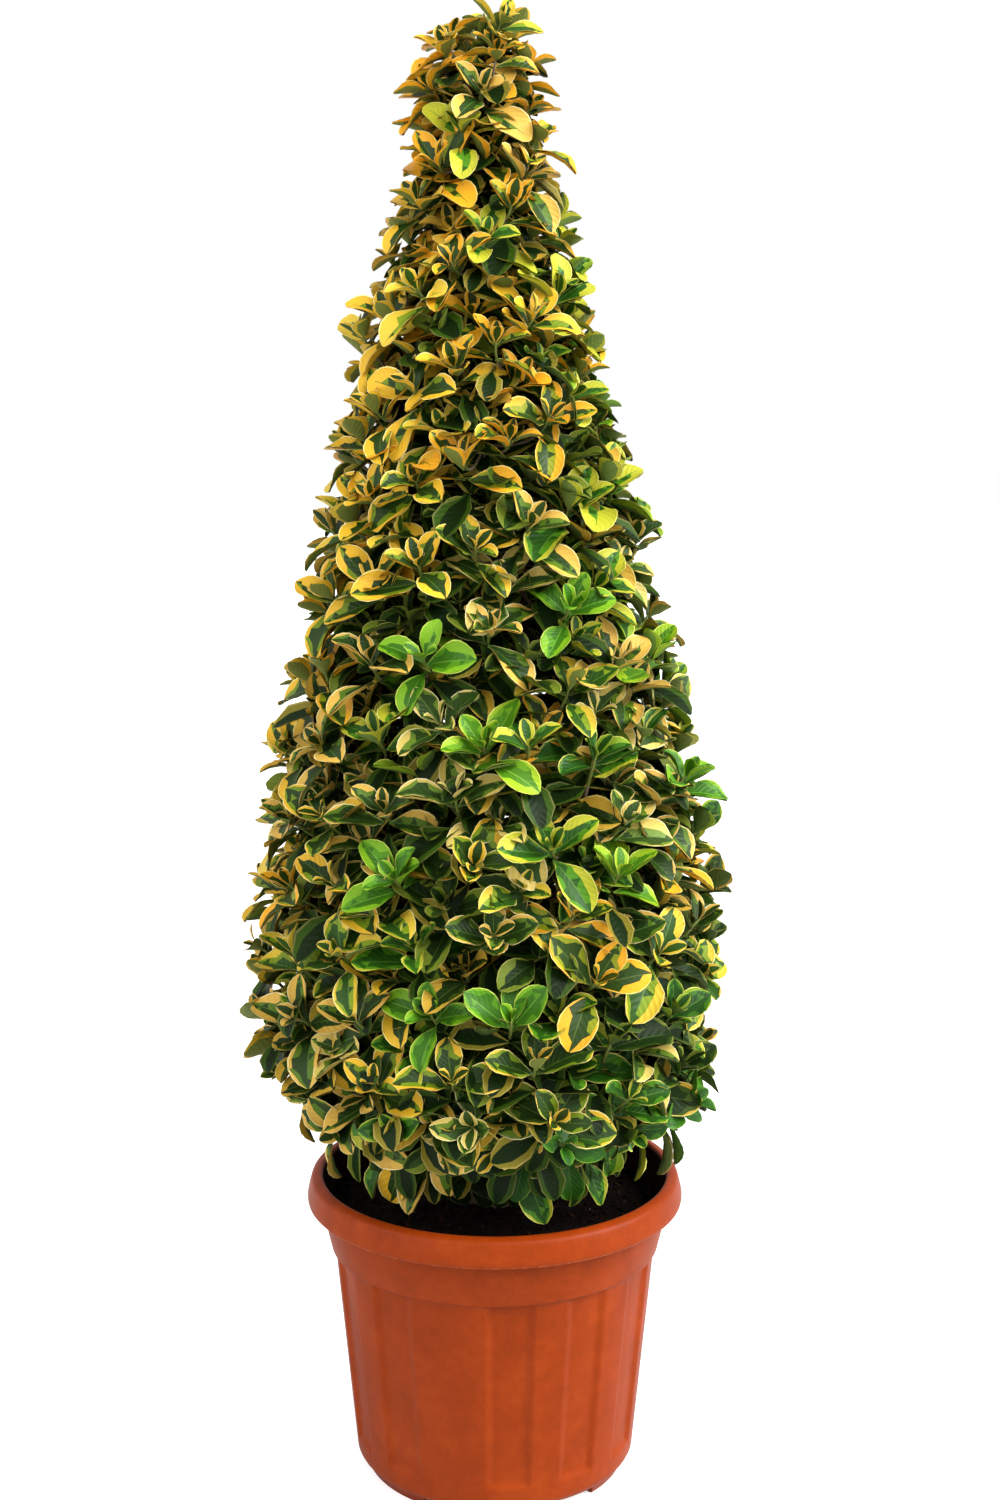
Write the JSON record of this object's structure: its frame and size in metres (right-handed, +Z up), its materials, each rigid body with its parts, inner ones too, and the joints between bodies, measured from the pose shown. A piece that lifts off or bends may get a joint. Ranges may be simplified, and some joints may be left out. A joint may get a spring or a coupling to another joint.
{
  "type": "potted japanese euonymus",
  "caption": "Golden-variegated evergreen shrub clipped as a tall slim cone, growing in a round terracotta-coloured plastic pot filled with dark soil.",
  "frame": {"origin": "centre of the pot's underside, on the ground it stands on", "axes": "+Z up along the pot's axis and the trunk, -Y towards the front (the pot's one wide panel is just left of it), +X to the right"},
  "size_m": [0.451, 0.4482, 1.3451],
  "materials": {
    "moulded_plastic": "satin",
    "potting_soil": "matte",
    "bark": "matte",
    "variegated_leaves": "satin"
  },
  "bodies": {
    "root": {"pot": "moulded_plastic", "soil": "potting_soil", "trunk": "bark", "foliage_a1": "variegated_leaves", "foliage_a2": "variegated_leaves", "foliage_a3": "variegated_leaves", "foliage_b1": "variegated_leaves", "foliage_b2": "variegated_leaves", "foliage_b3": "variegated_leaves", "foliage_c1": "variegated_leaves", "foliage_c2": "variegated_leaves", "foliage_c3": "variegated_leaves", "foliage_d1": "variegated_leaves", "foliage_d2": "variegated_leaves"}
  },
  "joints": []
}
